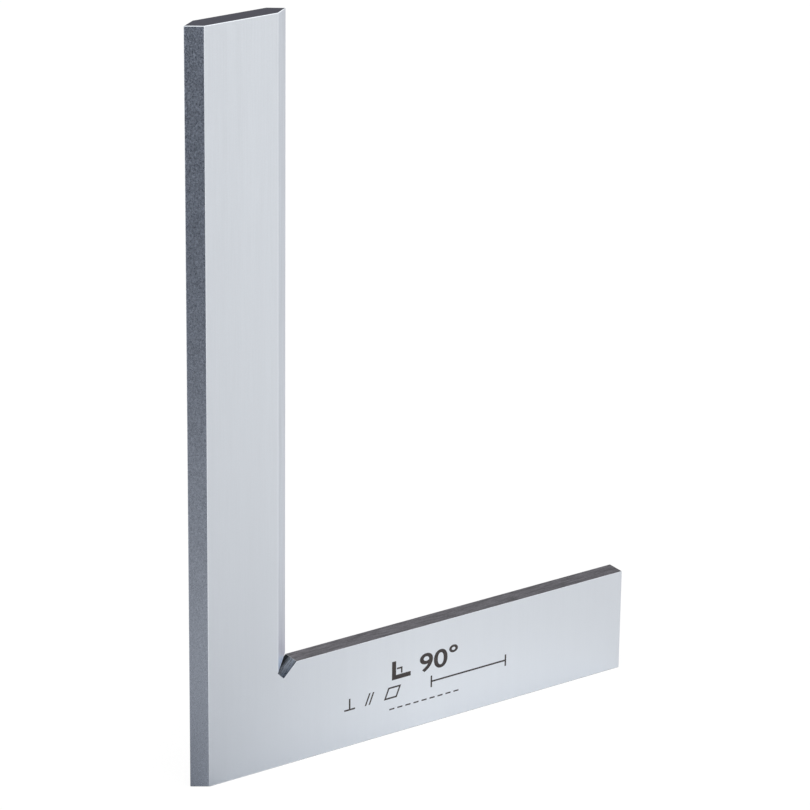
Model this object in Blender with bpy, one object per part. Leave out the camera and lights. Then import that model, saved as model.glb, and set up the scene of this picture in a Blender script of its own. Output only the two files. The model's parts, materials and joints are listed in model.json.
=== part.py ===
"""Bevel-edge square, 300 by 200 mm: one solid body of hardened steel, ground all over.

The body stands on its short leg. +X runs along the short leg, +Y through the thickness
from the front face to the back face, and +Z up the long leg. The origin is the middle
of the base. Outlines are drawn from the outer corner, where the base meets the outer
knife edge, and the finished body is moved by half the short leg's length.
"""

import math

import bmesh
import bpy
from mathutils import Matrix

# Driving dimensions, in metres.
LONG_LEG = 0.300  # base to the long leg's end
SHORT_LEG = 0.200  # outer knife edge to the short leg's end
LEG_WIDTH = 0.0425  # both legs, the long one measured between its knife edges
THICKNESS = 0.008
OUTER_BEVEL = 0.006  # how far the outer knife edge's bevels reach across the flat faces
INNER_BEVEL = 0.0056  # and the inner knife edge's
KNIFE_RADIUS = 0.0002  # the rounded tip of a knife edge
KNIFE_SEGMENTS = 4
RELIEF_WIDTH = 0.004  # the slot that clears the inner corner, at 45 degrees
RELIEF_DEPTH = 0.0062  # from the inner corner to the slot's square end

MARGIN = 0.001  # how far a cutter or the blank stands outside the finished shape
SEAT_IN_SLOT = 0.0001  # how far inside the slot's upper wall the inner bevel's cut ends
WELD = 0.00001

STEEL_COLOUR = (0.61, 0.64, 0.71, 1.0)
STEEL_ROUGHNESS = 0.34


def clear_scene():
    for old in list(bpy.data.objects):
        bpy.data.objects.remove(old)


def new_collection(name):
    collection = bpy.data.collections.new(name)
    bpy.context.scene.collection.children.link(collection)
    return collection


def steel_material():
    material = bpy.data.materials.new("ground_steel")
    material.use_nodes = True
    shader = material.node_tree.nodes["Principled BSDF"]
    shader.inputs["Base Color"].default_value = STEEL_COLOUR
    shader.inputs["Roughness"].default_value = STEEL_ROUGHNESS
    shader.inputs["Metallic"].default_value = 1.0
    return material


def outline_solid(name, outline, depth, matrix, collection):
    """A closed mesh object: a flat outline extruded by depth, half to each side of its plane."""
    curve = bpy.data.curves.new(name + "_outline", "CURVE")
    curve.dimensions = "2D"
    curve.fill_mode = "BOTH"
    curve.extrude = depth / 2
    spline = curve.splines.new("POLY")
    spline.points.add(len(outline) - 1)
    for point, (u, v) in zip(spline.points, outline):
        point.co = (u, v, 0, 1)
    spline.use_cyclic_u = True
    drawn = bpy.data.objects.new(name + "_outline", curve)
    collection.objects.link(drawn)
    depsgraph = bpy.context.evaluated_depsgraph_get()
    mesh = bpy.data.meshes.new_from_object(drawn.evaluated_get(depsgraph))
    bpy.data.objects.remove(drawn)

    shape = bmesh.new()
    shape.from_mesh(mesh)
    bmesh.ops.remove_doubles(shape, verts=shape.verts, dist=WELD)
    bmesh.ops.recalc_face_normals(shape, faces=shape.faces)
    shape.to_mesh(mesh)
    shape.free()
    mesh.name = name
    solid = bpy.data.objects.new(name, mesh)
    solid.matrix_world = matrix
    collection.objects.link(solid)
    return solid


def blank_outline():
    """The body seen from the front, with the relief slot, and MARGIN spare at both knife edges."""
    half_slot = RELIEF_WIDTH / math.sqrt(2)  # half the slot's width, measured along X or Z
    slot_end = LEG_WIDTH - RELIEF_DEPTH / math.sqrt(2)
    corner_step = RELIEF_WIDTH / 2 / math.sqrt(2)
    spare = LEG_WIDTH + MARGIN
    return [
        (-MARGIN, 0),
        (SHORT_LEG, 0),
        (SHORT_LEG, LEG_WIDTH),
        (LEG_WIDTH + half_slot, LEG_WIDTH),
        (slot_end + corner_step, slot_end - corner_step),
        (slot_end - corner_step, slot_end + corner_step),
        (spare, spare + half_slot),
        (spare, LONG_LEG),
        (-MARGIN, LONG_LEG),
    ]


def knife_edge(bevel_width):
    """Points round a knife edge whose tip is at x = 0, from MARGIN in front to MARGIN behind.

    Each bevel is the line from its flat face's corner that touches the tip's circle.
    """
    half = THICKNESS / 2
    run = bevel_width - KNIFE_RADIUS
    reach = math.hypot(run, half)
    slope = math.atan2(half, run) - math.asin(KNIFE_RADIUS / reach)
    start = math.pi / 2 + slope
    step = (2 * math.pi - 2 * start) / KNIFE_SEGMENTS
    outside = (bevel_width + MARGIN / math.tan(slope), half + MARGIN)
    points = [outside]
    for i in range(KNIFE_SEGMENTS + 1):
        angle = start + i * step
        x = KNIFE_RADIUS + KNIFE_RADIUS * math.cos(angle)
        points.append((x, KNIFE_RADIUS * math.sin(angle)))
    points.append((outside[0], -outside[1]))
    return points


def knife_cutter(name, bevel_width, collection):
    """A block over the whole thickness and height, with the knife edge as a groove in its side."""
    side = THICKNESS / 2 + MARGIN
    outline = knife_edge(bevel_width) + [(-2 * MARGIN, -side), (-2 * MARGIN, side)]
    height = LONG_LEG + 2 * MARGIN
    return outline_solid(name, outline, height, Matrix.Translation((0, 0, LONG_LEG / 2)), collection)


def turn_to_inner_edge(cutter):
    """Turns a knife cutter round to the inner edge, and slopes its lower end along the relief slot."""
    cutter.matrix_world = Matrix.Identity(4)
    half_slot = RELIEF_WIDTH / math.sqrt(2)
    for vertex in cutter.data.vertices:
        vertex.co.x = LEG_WIDTH - vertex.co.x
        vertex.co.y = -vertex.co.y
        if vertex.co.z > 0:
            vertex.co.z = LONG_LEG + MARGIN
        else:
            vertex.co.z = vertex.co.x + half_slot - SEAT_IN_SLOT


def cut(body, cutter):
    cutter.hide_render = True
    cutter.display_type = "WIRE"
    difference = body.modifiers.new("cut_" + cutter.name, "BOOLEAN")
    difference.operation = "DIFFERENCE"
    difference.solver = "EXACT"
    difference.object = cutter


def main():
    clear_scene()
    parts = new_collection("bevel_edge_square")
    cutters = new_collection("cutters")

    upright_plane = Matrix.Rotation(math.pi / 2, 4, "X")
    body = outline_solid("square_body", blank_outline(), THICKNESS, upright_plane, parts)
    body.data.materials.append(steel_material())

    outer = knife_cutter("outer_bevels", OUTER_BEVEL, cutters)
    inner = knife_cutter("inner_bevels", INNER_BEVEL, cutters)
    turn_to_inner_edge(inner)
    cut(body, outer)
    cut(body, inner)

    to_base_middle = Matrix.Translation((-SHORT_LEG / 2, 0, 0))
    for piece in (body, outer, inner):
        piece.matrix_world = to_base_middle @ piece.matrix_world


main()
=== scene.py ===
import json
import math
from contextlib import contextmanager
from typing import NamedTuple

import bmesh
import bpy
from mathutils import Matrix, Quaternion, Vector


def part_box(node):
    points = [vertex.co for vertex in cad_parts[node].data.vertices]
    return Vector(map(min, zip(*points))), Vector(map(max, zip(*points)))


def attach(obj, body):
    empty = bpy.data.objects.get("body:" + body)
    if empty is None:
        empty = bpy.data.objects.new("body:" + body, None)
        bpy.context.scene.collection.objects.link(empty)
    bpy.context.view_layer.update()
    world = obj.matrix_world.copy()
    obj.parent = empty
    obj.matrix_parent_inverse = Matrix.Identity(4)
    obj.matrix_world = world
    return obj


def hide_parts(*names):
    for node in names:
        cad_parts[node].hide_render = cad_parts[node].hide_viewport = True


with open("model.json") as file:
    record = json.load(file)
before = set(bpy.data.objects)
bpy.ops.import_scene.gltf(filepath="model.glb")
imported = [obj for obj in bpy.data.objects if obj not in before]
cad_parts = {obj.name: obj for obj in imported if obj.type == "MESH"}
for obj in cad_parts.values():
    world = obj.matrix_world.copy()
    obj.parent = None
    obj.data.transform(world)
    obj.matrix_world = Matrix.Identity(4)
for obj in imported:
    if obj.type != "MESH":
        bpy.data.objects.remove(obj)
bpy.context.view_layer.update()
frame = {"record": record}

# A bevel-edge square of ground steel on a white table, in a tent of soft light. Lengths are in metres.
# Its outlines are drawn from the outer corner, where the base meets the outer knife edge, and the
# finished shapes are then moved to the frame's own place.

# The body's sizes. The legs' lengths and width and the thickness come from the frame.
LOW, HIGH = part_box("square_body")
SHORT_LEG = HIGH.x - LOW.x
LONG_LEG = HIGH.z
THICKNESS = HIGH.y - LOW.y
MOUNTS = {mount["name"]: mount for mount in frame["record"]["mounts"]}
LEG_WIDTH = MOUNTS["short_leg_inner_face"]["pos_m"][2]
OUTER_BEVEL = 0.006  # how far the outer knife edge's bevels reach across the flat faces
INNER_BEVEL = 0.0056  # and the inner knife edge's
KNIFE_RADIUS = 0.0002  # the rounded tip of a knife edge
KNIFE_SEGMENTS = 8
RELIEF_WIDTH = 0.004  # the slot that clears the inner corner, at 45 degrees
RELIEF_DEPTH = 0.0062  # from the inner corner to the slot's square end
HALF_SLOT = RELIEF_WIDTH / math.sqrt(2)  # half the slot's width, measured along X or Z
MARGIN = 0.001  # how far a cutter or the blank stands outside the finished shape
SEAT_IN_SLOT = 0.0001  # how far inside the slot's upper wall the inner bevel's cut ends

# How far each kind of edge is cut back.
LEG_EDGE_BREAK = 0.00008
BASE_EDGE_BREAK = 0.00015
SLOT_EDGE_BREAK = 0.00008
BEVEL_EDGE_BREAK = 0.00018
END_CHAMFER = 0.0002
FOOT_CHAMFER = 0.00025
EDGE_SEGMENTS = 3

# Points closer than these are one point: in any test of place, in a drawn outline, and in the cut body.
WELD = 0.00001
OUTLINE_WELD = WELD / 2
BODY_WELD = WELD / 10
CUT_WELD = WELD / 100  # and on a chamfer's plane

# Angles between neighbouring faces.
FLAT_ANGLE = math.radians(1)  # faces that turn less than this are one face
FACET_ANGLE = math.radians(20)  # less than this is a facet of a knife tip, which isn't broken
SMOOTH_ANGLE = math.radians(32)  # less than this is shaded as one surface
BEVEL_ANGLE = math.radians(40)  # less than this is an edge between a bevel and a flat face

# The axes' directions, and the turn that stands an outline up, so that its Y becomes Z.
ALONG = (1.0, 0.0, 0.0)
TO_FRONT = (0.0, -1.0, 0.0)
UP = (0.0, 0.0, 1.0)
UPRIGHT_PLANE = Matrix.Rotation(math.pi / 2, 4, "X")

BLACK = (0.0, 0.0, 0.0, 1.0)
WHITE = (1.0, 1.0, 1.0, 1.0)


# ---------------------------------------------------------------- node helpers


class Tree:
    """The nodes of a material or world, with short calls for the nodes used here."""

    def __init__(self, owner):
        owner.use_nodes = True
        self.owner = owner
        self.nodes = owner.node_tree.nodes
        self.links = owner.node_tree.links

    def join(self, source, target):
        """Links a socket to the target, or sets the target to a value."""
        if isinstance(source, bpy.types.NodeSocket):
            self.links.new(source, target)
        else:
            target.default_value = source

    def add(self, kind, inputs=None, **settings):
        """A new node with these settings, its inputs linked or set."""
        node = self.nodes.new("ShaderNode" + kind)
        for name, value in settings.items():
            setattr(node, name, value)
        for name, source in (inputs or {}).items():
            self.join(source, node.inputs[name])
        return node

    def set_shader(self, inputs):
        """Links or sets inputs of the material's own Principled BSDF."""
        shader = self.nodes["Principled BSDF"]
        for name, source in inputs.items():
            self.join(source, shader.inputs[name])
        return shader.outputs["BSDF"]

    def show(self, surface):
        self.join(surface, self.nodes["Material Output"].inputs["Surface"])

    def place(self, kind="Object"):
        """The place that is shaded: in the object's own coordinates, or in another kind."""
        return self.add("TexCoord").outputs[kind]

    def turn(self, vector, angle):
        """Turns a position round Y, so that its new X runs at this angle above the old one."""
        return self.add("Mapping", {"Vector": vector, "Rotation": (0.0, angle, 0.0)}).outputs["Vector"]

    def stretch(self, vector, scale):
        return self.add("Mapping", {"Vector": vector, "Scale": scale}).outputs["Vector"]

    def noise(self, vector, scale, detail, roughness):
        inputs = {"Vector": vector, "Scale": scale, "Detail": detail, "Roughness": roughness}
        return self.add("TexNoise", inputs).outputs["Fac"]

    def spread(self, value, low, high, to_low, to_high, **settings):
        """Maps low..high to to_low..to_high, held at both ends."""
        inputs = {"Value": value, "From Min": low, "From Max": high, "To Min": to_low, "To Max": to_high}
        return self.add("MapRange", inputs, **settings).outputs["Result"]

    def math(self, operation, a, b=0.0):
        return self.add("Math", {0: a, 1: b}, operation=operation).outputs["Value"]

    def dot(self, vector, direction):
        return self.add("VectorMath", {0: vector, 1: direction}, operation="DOT_PRODUCT").outputs["Value"]

    def mix(self, factor, a, b):
        return self.add("Mix", {"Factor": factor, "A": a, "B": b}, data_type="RGBA").outputs["Result"]

    def bump(self, height, depth):
        return self.add("Bump", {"Height": height, "Distance": depth}).outputs["Normal"]

    def camera_sees(self, seen, otherwise, share=1.0):
        """A mix of two shaders: to the camera, share of the first, and to all other rays, the second."""
        share = self.math("MULTIPLY", self.add("LightPath").outputs["Is Camera Ray"], share)
        return self.add("MixShader", {"Fac": share, 1: otherwise, 2: seen}).outputs["Shader"]


# ---------------------------------------------------------------- finishes


# Where most of a noise pattern's values lie, and where nearly all of them do.
NOISE_LOW, NOISE_HIGH = 0.3, 0.7
NOISE_LOWEST, NOISE_HIGHEST = 0.2, 0.8

STEEL_TINT = (0.955, 1.0, 1.055)
INNER_TINT = (0.95, 1.0, 1.075)
BLUE_TINT = (0.92, 0.99, 1.12)
WARM_TINT = (1.01, 0.98, 1.08)
END_TINT = (0.97, 0.98, 1.24)
SLOT_TINT = (0.87, 0.98, 1.16)

# How finely a pattern repeats. Grinding lines have a number for each of X, Y and Z, small along the lines.
FINE_GRAIN = 2600.0
COARSE_GRAIN = 1500.0
LINES_UP = (1500, 1500, 40)
LINES_ALONG = (160, 1300, 1300)
NO_LINES = (300, 300, 300)

BAND_SCALE = 0.15  # how finely the broad bands repeat, against the grinding lines
GRAIN_HEIGHT = 0.6  # how high the grain stands, against the grinding lines
ROUGHNESS_CHANGE = 0.03  # how far the grinding lines move the roughness up and down
MOST_SHADE = 2.0  # the most that a pattern may brighten a finish

# A light band of painted reflection along the relief slot's walls, with painted shade beside it, measured
# through the thickness.
PAINTED_SHEEN_AT = 0.0014  # its middle, this far in front of the body's middle
PAINTED_SHEEN_CORE = 0.0008
PAINTED_SHEEN_EDGE = 0.0034


class Finish(NamedTuple):
    """How one kind of face was ground."""

    level: float  # how bright its steel is
    roughness: float
    lay: tuple  # how finely its grinding lines repeat
    depth: float  # how deep they are
    lines: float  # how much the lines vary its brightness,
    grain: float  # how much the grain does,
    bands: float  # and how much the broad bands do
    tint: tuple = STEEL_TINT
    grain_scale: float = FINE_GRAIN
    at_foot: float = 1.0  # how strong those three are at the foot, against half-way up the long leg
    painted_sheen_band: float = 0.0  # how much brighter a painted reflection makes the band, and how much darker painted shade makes the rest
    lay_angle: float = 0.0  # how far the lay's X is turned up from the body's


# The base edge's dark steel is painted contact shade: a dark line where the outer bevels' foot and the
# base's edges meet the table.
FINISHES = {
    "lapped_face": Finish(
        level=0.835, roughness=0.30, lay=LINES_UP, depth=2e-7,
        lines=0.024, grain=0.018, bands=0.022, at_foot=0.35,
    ),
    # The outer bevels' steel is darker than the inner bevels', though ground alike: painted shade, on top of
    # the dark they mirror.
    "outer_bevel": Finish(
        level=0.515, roughness=0.28, lay=(1800, 1800, 900), depth=5e-6,
        lines=0.25, grain=0.42, bands=0.06, tint=BLUE_TINT, grain_scale=COARSE_GRAIN, at_foot=0.15,
    ),
    "inner_bevel": Finish(
        level=0.77, roughness=0.30, lay=LINES_UP, depth=3e-6,
        lines=0.12, grain=0.05, bands=0.04, tint=INNER_TINT,
    ),
    "measuring_face": Finish(
        level=0.495, roughness=0.30, lay=LINES_ALONG, depth=3e-6,
        lines=0.62, grain=0.30, bands=0.05, tint=WARM_TINT, grain_scale=COARSE_GRAIN,
    ),
    "leg_end": Finish(
        level=0.29, roughness=0.34, lay=(500, 1500, 1500), depth=3e-6,
        lines=0.12, grain=0.16, bands=0.04, tint=END_TINT,
    ),
    "slot_wall": Finish(
        level=0.38, roughness=0.36, lay=(300, 1500, 1500), depth=1e-5,
        lines=1.1, grain=0.8, bands=0.1, tint=SLOT_TINT, grain_scale=1900.0,
        painted_sheen_band=0.85, lay_angle=math.pi / 4,
    ),
    # The edge breaks' steel is brighter than the faces': partly painted highlight, which brightens the thin
    # lines of light they mirror.
    "edge_break": Finish(
        level=0.95, roughness=0.30, lay=NO_LINES, depth=1e-6,
        lines=0.04, grain=0.02, bands=0.02,
    ),
    "base_edge": Finish(
        level=0.18, roughness=0.40, lay=NO_LINES, depth=1e-6,
        lines=0.10, grain=0.05, bands=0.02,
    ),
}


def steel(name, finish):
    """A material of ground steel."""
    tree = Tree(bpy.data.materials.new(name))
    place = tree.place()
    laid = tree.stretch(tree.turn(place, finish.lay_angle), finish.lay)
    lines = tree.noise(laid, 1.0, detail=3.0, roughness=0.6)
    grain = tree.noise(place, finish.grain_scale, detail=2.0, roughness=0.6)
    bands = tree.noise(laid, BAND_SCALE, detail=2.0, roughness=0.5)

    change = 0.0
    for pattern, amount in ((lines, finish.lines), (grain, finish.grain), (bands, finish.bands)):
        part = tree.spread(pattern, NOISE_LOW, NOISE_HIGH, -amount / 2, amount / 2)
        change = tree.math("ADD", part, change)
    if finish.at_foot != 1.0:
        fade = tree.spread(tree.dot(place, UP), 0.0, LONG_LEG, finish.at_foot, 2.0 - finish.at_foot)
        change = tree.math("MULTIPLY", change, fade)
    shade = tree.math("ADD", change, 1.0)
    # Painted reflection and shade on the slot walls: brighter in a band through the thickness, darker beside
    # it.
    if finish.painted_sheen_band:
        off_middle = tree.math("ABSOLUTE", tree.math("SUBTRACT", tree.dot(place, TO_FRONT), PAINTED_SHEEN_AT))
        inside, outside = 1.0 + finish.painted_sheen_band, 1.0 - finish.painted_sheen_band
        mark = tree.spread(off_middle, PAINTED_SHEEN_CORE, PAINTED_SHEEN_EDGE, inside, outside)
        shade = tree.math("MULTIPLY", shade, mark)

    # A mix holds its factor at 1, so its far colour is the brightest that a pattern may reach.
    brightest = tuple(finish.level * MOST_SHADE * part for part in finish.tint) + (1.0,)
    smoothest, roughest = finish.roughness - ROUGHNESS_CHANGE, finish.roughness + ROUGHNESS_CHANGE
    height = tree.math("ADD", lines, tree.math("MULTIPLY", grain, GRAIN_HEIGHT))
    tree.set_shader({
        "Metallic": 1.0,
        "Base Color": tree.mix(tree.math("DIVIDE", shade, MOST_SHADE), BLACK, brightest),
        "Roughness": tree.spread(lines, NOISE_LOWEST, NOISE_HIGHEST, smoothest, roughest),
        "Normal": tree.bump(height, finish.depth),
    })
    return tree.owner


# The etching: matt and dark, a burnt, slightly uneven oxide.
INK_DARK = (0.030, 0.026, 0.027, 1.0)
INK_LIGHT = (0.062, 0.052, 0.050, 1.0)
INK_GRAIN = 2200.0  # how finely its grain repeats
INK_PATCHES = 300.0  # and its broader patches
INK_GRAIN_SHARE = 0.6  # the grain's part of its unevenness; the rest is the patches'
INK_DARK_AT, INK_LIGHT_AT = 0.35, 0.65
INK_SMOOTHEST, INK_ROUGHEST = 0.5, 0.75
INK_GLOSS = 0.3
INK_DEPTH = 4e-6


def etched_ink():
    tree = Tree(bpy.data.materials.new("etched_mark"))
    place = tree.place()
    grain = tree.noise(place, INK_GRAIN, detail=3.0, roughness=0.6)
    patches = tree.noise(place, INK_PATCHES, detail=2.0, roughness=0.5)
    from_grain = tree.math("MULTIPLY", grain, INK_GRAIN_SHARE)
    shade = tree.math("ADD", from_grain, tree.math("MULTIPLY", patches, 1.0 - INK_GRAIN_SHARE))
    tree.set_shader({
        "Base Color": tree.mix(tree.spread(shade, INK_DARK_AT, INK_LIGHT_AT, 0.0, 1.0), INK_DARK, INK_LIGHT),
        "Roughness": tree.spread(grain, NOISE_LOW, NOISE_HIGH, INK_SMOOTHEST, INK_ROUGHEST),
        "Specular IOR Level": INK_GLOSS,
        "Normal": tree.bump(grain, INK_DEPTH),
    })
    return tree.owner


# ---------------------------------------------------------------- outlines and meshes


def object_of(name, data):
    made = bpy.data.objects.new(name, data)
    bpy.context.scene.collection.objects.link(made)
    return made


@contextmanager
def editing(mesh):
    """A bmesh of the mesh, written back to it at the end."""
    shape = bmesh.new()
    shape.from_mesh(mesh)
    yield shape
    shape.to_mesh(mesh)
    shape.free()


def evaluated_mesh(obj):
    """A new mesh of the object as it stands, with its modifiers applied."""
    return bpy.data.meshes.new_from_object(obj.evaluated_get(bpy.context.evaluated_depsgraph_get()))


def applied(obj):
    """Applies the object's modifiers, and returns its new mesh."""
    mesh = evaluated_mesh(obj)
    obj.modifiers.clear()
    old, obj.data = obj.data, mesh
    bpy.data.meshes.remove(old)
    return mesh


def solid_from_curve(name, curve):
    """A closed mesh from a filled, extruded curve or text."""
    drawn = object_of(name, curve)
    mesh = evaluated_mesh(drawn)
    bpy.data.objects.remove(drawn)
    with editing(mesh) as shape:
        bmesh.ops.remove_doubles(shape, verts=shape.verts, dist=OUTLINE_WELD)
        bmesh.ops.recalc_face_normals(shape, faces=shape.faces)
    return mesh


def outline_mesh(name, outlines, depth):
    """Flat closed outlines extruded by depth, half to each side. An outline inside another is a hole."""
    curve = bpy.data.curves.new(name, "CURVE")
    curve.dimensions = "2D"
    curve.fill_mode = "BOTH"
    curve.extrude = depth / 2
    for outline in outlines:
        spline = curve.splines.new("POLY")
        spline.points.add(len(outline) - 1)
        for point, (u, v) in zip(spline.points, outline):
            point.co = (u, v, 0, 1)
        spline.use_cyclic_u = True
    return solid_from_curve(name, curve)


# ---------------------------------------------------------------- fine body


def blank_outline():
    """The body from the front, with the relief slot, and MARGIN spare at both knife edges."""
    slot_end = LEG_WIDTH - RELIEF_DEPTH / math.sqrt(2)
    corner_step = HALF_SLOT / 2
    spare = LEG_WIDTH + MARGIN
    return [
        (-MARGIN, 0),
        (SHORT_LEG, 0),
        (SHORT_LEG, LEG_WIDTH),
        (LEG_WIDTH + HALF_SLOT, LEG_WIDTH),
        (slot_end + corner_step, slot_end - corner_step),
        (slot_end - corner_step, slot_end + corner_step),
        (spare, spare + HALF_SLOT),
        (spare, LONG_LEG),
        (-MARGIN, LONG_LEG),
    ]


def bevel_slope(bevel_width):
    """The angle between a knife-edge bevel and the flat face. The bevel touches the tip's circle."""
    half = THICKNESS / 2
    run = bevel_width - KNIFE_RADIUS
    return math.atan2(half, run) - math.asin(KNIFE_RADIUS / math.hypot(run, half))


def knife_edge(bevel_width):
    """Points round a knife edge whose tip is at x = 0, from MARGIN outside one flat face to MARGIN outside
    the other."""
    slope = bevel_slope(bevel_width)
    start = math.pi / 2 + slope
    step = (2 * math.pi - 2 * start) / KNIFE_SEGMENTS
    outside = (bevel_width + MARGIN / math.tan(slope), THICKNESS / 2 + MARGIN)
    points = [outside]
    for i in range(KNIFE_SEGMENTS + 1):
        angle = start + i * step
        points.append((KNIFE_RADIUS + KNIFE_RADIUS * math.cos(angle), KNIFE_RADIUS * math.sin(angle)))
    points.append((outside[0], -outside[1]))
    return points


def knife_cutter(name, bevel_width):
    """A block over the whole thickness and height, with the knife edge as a groove in its side."""
    side = THICKNESS / 2 + MARGIN
    outline = knife_edge(bevel_width) + [(-2 * MARGIN, -side), (-2 * MARGIN, side)]
    mesh = outline_mesh(name, [outline], LONG_LEG + 2 * MARGIN)
    mesh.transform(Matrix.Translation((0, 0, LONG_LEG / 2)))
    return object_of(name, mesh)


def turn_to_inner_edge(mesh):
    """Turns a knife cutter round to the inner edge, and slopes its lower end along the relief slot."""
    for vertex in mesh.vertices:
        vertex.co.x = LEG_WIDTH - vertex.co.x
        vertex.co.y = -vertex.co.y
        if vertex.co.z < LONG_LEG / 2:
            vertex.co.z = vertex.co.x + HALF_SLOT - SEAT_IN_SLOT


def cut_body():
    """The body with sharp edges, still at the outer corner."""
    mesh = outline_mesh("blank", [blank_outline()], THICKNESS)
    mesh.transform(UPRIGHT_PLANE)
    body = object_of("square_body_finish", mesh)
    outer = knife_cutter("outer_bevels", OUTER_BEVEL)
    inner = knife_cutter("inner_bevels", INNER_BEVEL)
    turn_to_inner_edge(inner.data)
    for cutter in (outer, inner):
        cut = body.modifiers.new("cut", "BOOLEAN")
        cut.operation = "DIFFERENCE"
        cut.solver = "EXACT"
        cut.object = cutter
    applied(body)
    for cutter in (outer, inner):
        bpy.data.objects.remove(cutter)
    return body


# How a normal's parts along the axes tell the faces and edges apart. Each part is between -1 and 1.
STRAIGHT = 0.999  # it looks straight along the axis
ALMOST_STRAIGHT = 0.99
ACROSS = 0.01  # less than this, and it looks across the axis
DOWNWARD = 0.1  # more than this below, and it looks partly down
BEVEL_TO_SIDE = (0.5, 0.95)  # a bevel's part along Y

# And how areas do, in square metres.
LARGEST_BREAK = 3e-7
LEAST_SLOT_WALL = 1e-6
LEAST_BEVEL = 1e-4


def is_slanted(normal):
    """Whether a face is a wall of the relief slot, at 45 degrees to both legs."""
    return abs(abs(normal.x) - abs(normal.z)) < ACROSS and abs(normal.y) < ACROSS


def edge_width(edge):
    """How far this edge of the sharp body is cut back. The chamfered ends and a knife tip's facets stay as
    they are."""
    middle = (edge.verts[0].co + edge.verts[1].co) / 2
    along = (edge.verts[1].co - edge.verts[0].co).normalized()
    angle = edge.calc_face_angle_signed(0.0)
    at_top = middle.z > LONG_LEG - WELD
    at_outer_foot = middle.z < WELD and middle.x < OUTER_BEVEL - WELD
    if at_top or at_outer_foot or angle < FACET_ANGLE:
        return 0.0
    if any(is_slanted(face.normal) for face in edge.link_faces):
        on_knife_tip = abs(middle.x - LEG_WIDTH) < KNIFE_RADIUS and abs(middle.y) < KNIFE_RADIUS
        return 0.0 if on_knife_tip else SLOT_EDGE_BREAK
    if angle < BEVEL_ANGLE and abs(along.z) > ALMOST_STRAIGHT:
        return BEVEL_EDGE_BREAK
    return BASE_EDGE_BREAK if middle.z < WELD else LEG_EDGE_BREAK


def break_edges(body):
    """Rounds each edge by its own width, which a bevel weight gives against LEG_EDGE_BREAK."""
    with editing(body.data) as shape:
        bmesh.ops.remove_doubles(shape, verts=shape.verts, dist=BODY_WELD)
        bmesh.ops.dissolve_limit(shape, angle_limit=FLAT_ANGLE, verts=shape.verts, edges=shape.edges)
        weights = shape.edges.layers.float.new("bevel_weight_edge")
        for edge in shape.edges:
            edge[weights] = edge_width(edge) / LEG_EDGE_BREAK
    bevel = body.modifiers.new("edge_breaks", "BEVEL")
    bevel.limit_method = "WEIGHT"
    bevel.width = LEG_EDGE_BREAK
    bevel.segments = EDGE_SEGMENTS
    bevel.use_clamp_overlap = False
    with editing(applied(body)) as shape:
        bmesh.ops.remove_doubles(shape, verts=shape.verts, dist=BODY_WELD)


def chamfer_end(shape, sides, end_z, up, size):
    """Cuts a 45 degree chamfer round an end, one plane for each of its sides (normal, point on the side)."""
    for normal, point in sides:
        cut = bmesh.ops.bisect_plane(
            shape,
            geom=shape.verts[:] + shape.edges[:] + shape.faces[:],
            plane_co=(point.x, point.y, end_z - up * size),
            plane_no=(normal + Vector((0, 0, up))).normalized(),
            clear_outer=True,
            dist=CUT_WELD,
        )
        rim = [item for item in cut["geom_cut"] if isinstance(item, bmesh.types.BMEdge)]
        bmesh.ops.holes_fill(shape, edges=[edge for edge in rim if edge.is_boundary])


def bevel_side(bevel_width, knife_x, outward, side):
    """One bevel of a knife edge that points outward along X: its normal, and a point on it."""
    slope = bevel_slope(bevel_width)
    normal = Vector((outward * math.sin(slope), side * math.cos(slope), 0))
    return normal, Vector((knife_x - outward * bevel_width, side * THICKNESS / 2, 0))


def chamfer_ends(body):
    """Chamfers the long leg's end all round, and the outer bevels' foot."""
    outer_sides = [(Vector((-1, 0, 0)), Vector((0, 0, 0)))]
    other_sides = [(Vector((1, 0, 0)), Vector((LEG_WIDTH, 0, 0)))]
    for side in (-1, 1):
        outer_sides.append(bevel_side(OUTER_BEVEL, 0.0, -1, side))
        other_sides.append(bevel_side(INNER_BEVEL, LEG_WIDTH, 1, side))
        other_sides.append((Vector((0, side, 0)), Vector((OUTER_BEVEL, side * THICKNESS / 2, 0))))
    with editing(body.data) as shape:
        chamfer_end(shape, outer_sides + other_sides, LONG_LEG, 1, END_CHAMFER)
        chamfer_end(shape, outer_sides, 0.0, -1, FOOT_CHAMFER)
        bmesh.ops.recalc_face_normals(shape, faces=shape.faces)


def knife_tip_side(middle):
    """The bevel finish for a face with its middle on a knife edge's rounded tip, or None for any other."""
    if abs(middle.y) > KNIFE_RADIUS:
        return None
    if middle.x < KNIFE_RADIUS:
        return "outer_bevel"
    return "inner_bevel" if abs(middle.x - LEG_WIDTH) < KNIFE_RADIUS else None


def finish_of(face):
    """Which of FINISHES a face has."""
    normal, area, middle = face.normal, face.calc_area(), face.calc_center_median()
    upright = abs(normal.z) < ACROSS
    # The downward edge breaks at the foot get painted contact shade.
    if -STRAIGHT < normal.z < -DOWNWARD and middle.z < FOOT_CHAMFER:
        return "base_edge"
    if is_slanted(normal) and area > LEAST_SLOT_WALL:
        return "slot_wall"
    if upright and knife_tip_side(middle):
        return knife_tip_side(middle)
    if area < LARGEST_BREAK:
        return "edge_break"
    if abs(normal.y) > STRAIGHT:
        return "lapped_face"
    if upright and BEVEL_TO_SIDE[0] < abs(normal.y) < BEVEL_TO_SIDE[1] and area > LEAST_BEVEL:
        return "outer_bevel" if normal.x < 0 else "inner_bevel"
    if normal.x > STRAIGHT or normal.z > STRAIGHT and middle.z > LONG_LEG / 2:
        return "leg_end"
    if abs(normal.z) > STRAIGHT:
        return "measuring_face"
    return "edge_break"


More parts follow.
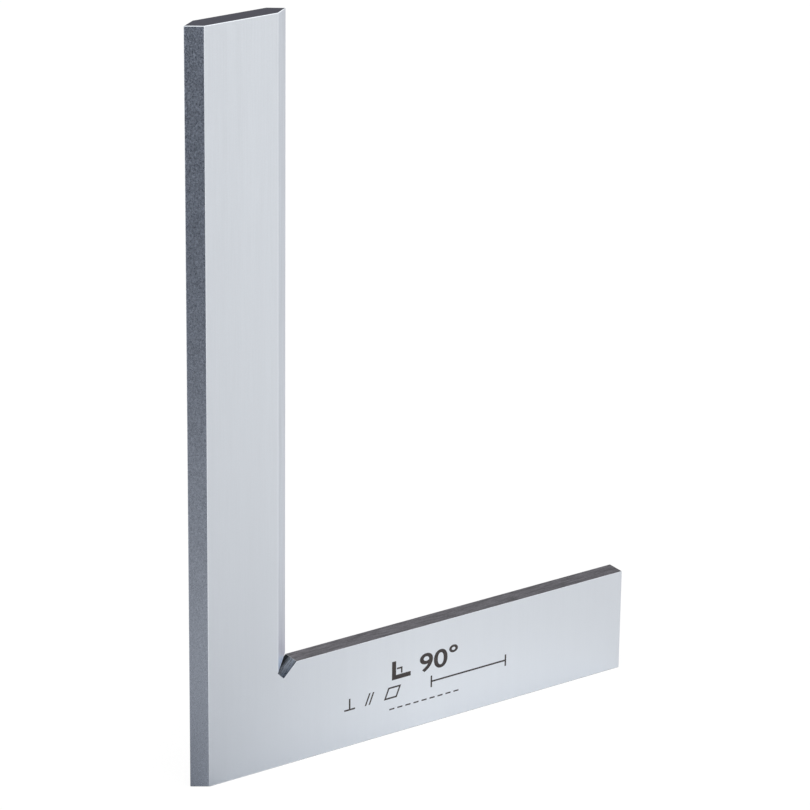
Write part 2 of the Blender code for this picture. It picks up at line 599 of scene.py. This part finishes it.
def fine_body():
    """The body again, with its real edge breaks and end chamfers and a finish on each face."""
    body = cut_body()
    break_edges(body)
    chamfer_ends(body)
    order = list(FINISHES)
    with editing(body.data) as shape:
        for face in shape.faces:
            face.material_index = order.index(finish_of(face))
            face.smooth = True
    body.data.transform(Matrix.Translation((LOW.x, 0, 0)))
    body.data.set_sharp_from_angle(angle=SMOOTH_ANGLE)
    weighted = body.modifiers.new("flat_faces_stay_flat", "WEIGHTED_NORMAL")
    weighted.keep_sharp = True
    weighted.weight = 100  # the most: a large face keeps its own normal beside the narrow breaks
    for name, finish in FINISHES.items():
        body.data.materials.append(steel(name, finish))
    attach(body, "root")
    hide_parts("square_body")


# ---------------------------------------------------------------- etched marks


MARK_DEPTH = 0.00002  # the marks' thickness, half of it in front of the front face
MARK_MIDDLE = 0.1045  # from the outer knife edge to the middle of the marks, along the short leg

# The big mark: a right-angle sign and the figures of its angle.
SIGN_BASE = 0.0229
SIGN_HEIGHT = 0.0079
SIGN_WIDTH = 0.0088
SIGN_STROKE = 0.0019
SIGN_SQUARE = 0.0030
SIGN_THIN_STROKE = 0.0007
SIGN_TO_MIDDLE = 0.0065  # from its right-hand edge to the middle of the marks
FIGURES_LEFT = 0.1020
FIGURES_STRETCH = 1.25
FIGURES_WEIGHT = 0.0002  # how much bolder they are than the plain font
FIGURES_SMOOTHNESS = 6
FIGURE_PART = 0.73  # a figure's height, as part of the font's size

# The row of drawing symbols and the span line beside it.
ROW_BASE = 0.0152
ROW_HEIGHT = 0.0050
ROW_STROKE = 0.0007
SYMBOLS_LEFT = 0.0671
SYMBOL_GAP = 0.0045
SYMBOL_LEAN = 0.4 * ROW_HEIGHT
PARALLEL_GAP = 0.35 * ROW_HEIGHT
FLATNESS_WIDTH = 1.2 * ROW_HEIGHT
SPAN_LEFT = 0.1075
SPAN_WIDTH = 0.0362

# The row of dashes.
DASH_BASE = 0.0103
DASH_COUNT = 9
DASH_LENGTH = 0.0024
DASH_PITCH = 0.0038
DASH_STROKE = 0.0006


def bar(x, z, width, height):
    return [(x, z), (x + width, z), (x + width, z + height), (x, z + height)]


def right_angle_sign():
    """An L with a small square in its corner."""
    x = MARK_MIDDLE - SIGN_WIDTH - SIGN_TO_MIDDLE
    z = SIGN_BASE
    angle = [
        (x, z),
        (x + SIGN_WIDTH, z),
        (x + SIGN_WIDTH, z + SIGN_STROKE),
        (x + SIGN_STROKE, z + SIGN_STROKE),
        (x + SIGN_STROKE, z + SIGN_HEIGHT),
        (x, z + SIGN_HEIGHT),
    ]
    near = SIGN_STROKE + SIGN_THIN_STROKE / 2
    far = SIGN_STROKE + SIGN_SQUARE
    inner = far - SIGN_THIN_STROKE
    square = [
        (x + near, z + inner),
        (x + inner, z + inner),
        (x + inner, z + near),
        (x + far, z + near),
        (x + far, z + far),
        (x + near, z + far),
    ]
    return [angle, square]


def angle_figures():
    """The figures 90 and a degree sign, standing on the sign's base line."""
    text = bpy.data.curves.new("mark_figures", "FONT")
    text.body = "90\N{DEGREE SIGN}"
    text.size = SIGN_HEIGHT / FIGURE_PART
    text.offset = FIGURES_WEIGHT
    text.extrude = MARK_DEPTH / 2
    text.resolution_u = FIGURES_SMOOTHNESS
    mesh = solid_from_curve("mark_figures", text)
    mesh.transform(Matrix.Diagonal((FIGURES_STRETCH, 1, 1, 1)))
    mesh.transform(Matrix.Translation((FIGURES_LEFT, SIGN_BASE, 0)))
    return mesh


def perpendicular_symbol(x, z):
    stem = x + (ROW_HEIGHT - ROW_STROKE) / 2
    outline = [
        (x, z),
        (x + ROW_HEIGHT, z),
        (x + ROW_HEIGHT, z + ROW_STROKE),
        (stem + ROW_STROKE, z + ROW_STROKE),
        (stem + ROW_STROKE, z + ROW_HEIGHT),
        (stem, z + ROW_HEIGHT),
        (stem, z + ROW_STROKE),
        (x, z + ROW_STROKE),
    ]
    return [outline], ROW_HEIGHT


def slanted_bar(x, z, width):
    top = z + ROW_HEIGHT
    return [(x, z), (x + width, z), (x + width + SYMBOL_LEAN, top), (x + SYMBOL_LEAN, top)]


def parallel_symbol(x, z):
    bars = [slanted_bar(x, z, ROW_STROKE), slanted_bar(x + PARALLEL_GAP, z, ROW_STROKE)]
    return bars, PARALLEL_GAP + SYMBOL_LEAN + ROW_STROKE


def flatness_symbol(x, z):
    """A parallelogram drawn with a line of constant thickness."""
    side_run = ROW_STROKE * math.hypot(SYMBOL_LEAN, ROW_HEIGHT) / ROW_HEIGHT
    rise = ROW_STROKE * SYMBOL_LEAN / ROW_HEIGHT
    left, right = x + side_run, x + FLATNESS_WIDTH - side_run
    low, high = z + ROW_STROKE, z + ROW_HEIGHT - ROW_STROKE
    inner = [
        (left + rise, low),
        (right + rise, low),
        (right + SYMBOL_LEAN - rise, high),
        (left + SYMBOL_LEAN - rise, high),
    ]
    return [slanted_bar(x, z, FLATNESS_WIDTH), inner], FLATNESS_WIDTH + SYMBOL_LEAN


def drawing_symbols():
    """Perpendicular, parallel and flat, as on any workshop drawing."""
    outlines = []
    x = SYMBOLS_LEFT
    for symbol in (perpendicular_symbol, parallel_symbol, flatness_symbol):
        drawn, width = symbol(x, ROW_BASE)
        outlines += drawn
        x += width + SYMBOL_GAP
    return outlines


def span_line():
    """A plain line between two end ticks."""
    right = SPAN_LEFT + SPAN_WIDTH
    low = ROW_BASE + (ROW_HEIGHT - ROW_STROKE) / 2
    high = low + ROW_STROKE
    top = ROW_BASE + ROW_HEIGHT
    return [[
        (SPAN_LEFT, ROW_BASE),
        (SPAN_LEFT + ROW_STROKE, ROW_BASE),
        (SPAN_LEFT + ROW_STROKE, low),
        (right - ROW_STROKE, low),
        (right - ROW_STROKE, ROW_BASE),
        (right, ROW_BASE),
        (right, top),
        (right - ROW_STROKE, top),
        (right - ROW_STROKE, high),
        (SPAN_LEFT + ROW_STROKE, high),
        (SPAN_LEFT + ROW_STROKE, top),
        (SPAN_LEFT, top),
    ]]


def dashes():
    first = MARK_MIDDLE - ((DASH_COUNT - 1) * DASH_PITCH + DASH_LENGTH) / 2
    return [bar(first + i * DASH_PITCH, DASH_BASE, DASH_LENGTH, DASH_STROKE) for i in range(DASH_COUNT)]


def etched_marks():
    ink = etched_ink()
    meshes = {
        "mark_right_angle": outline_mesh("mark_right_angle", right_angle_sign(), MARK_DEPTH),
        "mark_figures": angle_figures(),
        "mark_symbols": outline_mesh("mark_symbols", drawing_symbols(), MARK_DEPTH),
        "mark_span": outline_mesh("mark_span", span_line(), MARK_DEPTH),
        "mark_dashes": outline_mesh("mark_dashes", dashes(), MARK_DEPTH),
    }
    onto_front = Matrix.Translation((LOW.x, LOW.y, 0)) @ UPRIGHT_PLANE
    for name, mesh in meshes.items():
        mesh.transform(onto_front)
        mesh.materials.clear()
        mesh.materials.append(ink)
        piece = object_of(name, mesh)
        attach(piece, "root")


# ---------------------------------------------------------------- studio


# The camera, in degrees. It looks at AIM, a point in the body's middle plane.
CAMERA_AZIMUTH = -34.386
CAMERA_ELEVATION = 21.938
CAMERA_ROLL = 0.729
CAMERA_DISTANCE = 1.5454
CAMERA_LENS = 181.01  # in millimetres, on Blender's own 36 mm sensor
AIM = Vector((-0.00356, 0.0, 0.13528))

# The tent of diffuser cloth: bright in front and overhead and dark behind. Its edge and core are dot
# products of a direction with its aim, which is nearly a unit vector.
TENT_AIM = Vector((0.15, -0.75, 0.65))
TENT_EDGE = -0.15
TENT_CORE = 0.45
TENT_LIGHT = 1.48
TENT_CLOTH = (0.8, 0.8, 0.8, 1.0)
TENT_DARK_LEFT = 0.32  # the dark part's light, which falls from left to right
TENT_DARK_RIGHT = 0.10
TENT_DARK_FROM = 0.40  # between these cosines of the angle from +X
TENT_DARK_TO = 0.64

TABLE_HALF_WIDTH = 30.0
TABLE_DROP = 0.00002  # how far the table lies below the base
TABLE_PAPER = (0.9, 0.9, 0.905, 1.0)
TABLE_ROUGHNESS = 0.9
TABLE_WHITE = 0.85  # how much of the table's look to the camera is plain white
TABLE_GLOW = 1.055  # and how bright that white is

# The film on the table that tones what the steel mirrors, with painted shadow and shade, seen only in
# reflections.
FILM_RADIUS = 3.0
FILM_SIDES = 48
FILM_HEIGHT = 0.0003
FILM_DARKEST = (0.0, 0.02, 0.06, 1.0)  # what is left where it lets no light through
HIDDEN_FROM = ("camera", "diffuse", "shadow", "transmission", "volume_scatter")


class Strip(NamedTuple):
    """A strip of painted shadow on the film, which dims the table as the steel mirrors it, from under the
    outer corner outwards.
    """

    aim: Vector  # the way it runs
    shift: float  # how far its middle line is moved towards -X
    half_width: float  # at its start
    flare: float  # how much wider each half grows for each metre outwards
    core: float  # the part of its half width that is dimmed in full
    edge: float  # and where the dimming ends
    near: float  # how much light it keeps at its start
    far: float  # and at far_at and beyond
    far_at: float


DARK_SHADOW_STRIP = Strip(
    aim=Vector((-0.555, -0.832, 0.0)), shift=0.02, half_width=0.03, flare=0.35,
    core=0.4, edge=1.2, near=0.67, far=0.07, far_at=0.57,
)
SOFT_SHADOW_STRIP = Strip(
    aim=Vector((0.49, -0.872, 0.0)), shift=0.0, half_width=0.09, flare=0.0,
    core=0.0, edge=1.0, near=0.60, far=0.75, far_at=0.22,
)
STRIP_START = 0.03  # how far behind the corner a strip begins to show
CONTACT_LIGHT = 0.80  # a painted contact shadow: what the dark strip also keeps at its start, where the body stands on the table
CONTACT_TO = 0.12

# Beside the short leg's end, the film dims the table a little: painted shade, seen only in reflections.
SIDE_SHADE = 0.13
SIDE_SHADE_FROM = 0.08  # along X, from the outer corner
SIDE_SHADE_TO = 0.26
SIDE_SHADE_NEAR = 0.08  # and to the front
SIDE_SHADE_FAR = 0.22


def camera():
    azimuth, elevation = math.radians(CAMERA_AZIMUTH), math.radians(CAMERA_ELEVATION)
    back = Vector((
        math.sin(azimuth) * math.cos(elevation),
        -math.cos(azimuth) * math.cos(elevation),
        math.sin(elevation),
    ))
    data = bpy.data.cameras.new("camera")
    data.lens = CAMERA_LENS
    made = object_of("camera", data)
    made.location = AIM + back * CAMERA_DISTANCE
    made.rotation_mode = "QUATERNION"
    roll = Quaternion((0, 0, 1), math.radians(CAMERA_ROLL))
    made.rotation_quaternion = (-back).to_track_quat("-Z", "Y") @ roll
    bpy.context.scene.camera = made


def studio_world():
    """The tent of light, seen in the steel. The backdrop that the camera sees is plain white."""
    world = bpy.data.worlds.new("studio")
    bpy.context.scene.world = world
    tree = Tree(world)
    tree.nodes.clear()
    place = tree.place("Generated")
    to_right = tree.dot(place, ALONG)
    dark = tree.spread(to_right, TENT_DARK_FROM, TENT_DARK_TO, TENT_DARK_LEFT, TENT_DARK_RIGHT)
    to_aim = tree.dot(place, TENT_AIM)
    light = tree.spread(to_aim, TENT_EDGE, TENT_CORE, dark, TENT_LIGHT, interpolation_type="SMOOTHSTEP")
    tent = tree.add("Background", {"Color": TENT_CLOTH, "Strength": light}).outputs["Background"]
    backdrop = tree.add("Background", {"Color": WHITE}).outputs["Background"]
    tree.add("OutputWorld", {"Surface": tree.camera_sees(backdrop, tent)})


def table():
    mesh = bpy.data.meshes.new("table")
    with editing(mesh) as shape:
        bmesh.ops.create_grid(shape, x_segments=1, y_segments=1, size=TABLE_HALF_WIDTH)
    plane = object_of("table", mesh)
    plane.location.z = -TABLE_DROP
    tree = Tree(bpy.data.materials.new("table_paper"))
    paper = tree.set_shader({
        "Base Color": TABLE_PAPER,
        "Roughness": TABLE_ROUGHNESS,
        "Specular IOR Level": 0.0,
    })
    white = tree.add("Emission", {"Strength": TABLE_GLOW}).outputs["Emission"]
    tree.show(tree.camera_sees(white, paper, TABLE_WHITE))
    mesh.materials.append(tree.owner)


def lets_through(tree, cover, dimming):
    """The light that is left where cover, from 0 to 1, takes dimming of it away."""
    return tree.math("SUBTRACT", 1.0, tree.math("MULTIPLY", cover, dimming))


def strip_cover(tree, place, strip):
    """How fully a strip covers a place, from 0 to 1, and how far along the strip that is."""
    to_side = Vector((strip.aim.y, -strip.aim.x, 0))
    off_middle = tree.math("ABSOLUTE", tree.math("SUBTRACT", tree.dot(place, to_side), strip.shift))
    along = tree.dot(place, strip.aim)
    width = tree.math("ADD", strip.half_width, tree.math("MULTIPLY", along, strip.flare))
    cover = tree.spread(tree.math("DIVIDE", off_middle, width), strip.core, strip.edge, 1.0, 0.0)
    return tree.math("MULTIPLY", cover, tree.spread(along, -STRIP_START, 0.0, 0.0, 1.0)), along


def strip_light(tree, strip, cover, along):
    dimming = tree.spread(along, 0.0, strip.far_at, 1.0 - strip.near, 1.0 - strip.far)
    return lets_through(tree, cover, dimming)


def table_tone():
    """A clear film on the table, seen only in reflections. It paints shadow on what the steel mirrors: a
    dark strip to the front left, a soft one to the front right, a contact shadow where the body stands, and
    a little shade beside the short leg's end."""
    mesh = bpy.data.meshes.new("table_tone")
    with editing(mesh) as shape:
        bmesh.ops.create_circle(shape, cap_ends=True, segments=FILM_SIDES, radius=FILM_RADIUS)
    film = object_of("table_tone", mesh)
    film.location = (LOW.x, 0, FILM_HEIGHT)
    for ray in HIDDEN_FROM:
        setattr(film, "visible_" + ray, False)

    tree = Tree(bpy.data.materials.new("table_tone"))
    place = tree.place()
    # The painted shadows, multiplied together into the film's one colour.
    cover, along = strip_cover(tree, place, DARK_SHADOW_STRIP)
    contact = tree.spread(along, 0.0, CONTACT_TO, 1.0 - CONTACT_LIGHT, 0.0)
    lights = [strip_light(tree, DARK_SHADOW_STRIP, cover, along), lets_through(tree, cover, contact)]
    cover, along = strip_cover(tree, place, SOFT_SHADOW_STRIP)
    lights.append(strip_light(tree, SOFT_SHADOW_STRIP, cover, along))
    beside = tree.spread(tree.dot(place, ALONG), SIDE_SHADE_FROM, SIDE_SHADE_TO, 0.0, SIDE_SHADE)
    in_front = tree.spread(tree.dot(place, TO_FRONT), SIDE_SHADE_NEAR, SIDE_SHADE_FAR, 1.0, 0.0)
    lights.append(lets_through(tree, in_front, beside))
    light = lights[0]
    for other in lights[1:]:
        light = tree.math("MULTIPLY", light, other)
    clear = tree.add("BsdfTransparent", {"Color": tree.mix(light, FILM_DARKEST, WHITE)})
    tree.show(clear.outputs["BSDF"])
    mesh.materials.append(tree.owner)


bpy.context.scene.view_settings.view_transform = "Standard"
camera()
studio_world()
table()
table_tone()
fine_body()
etched_marks()
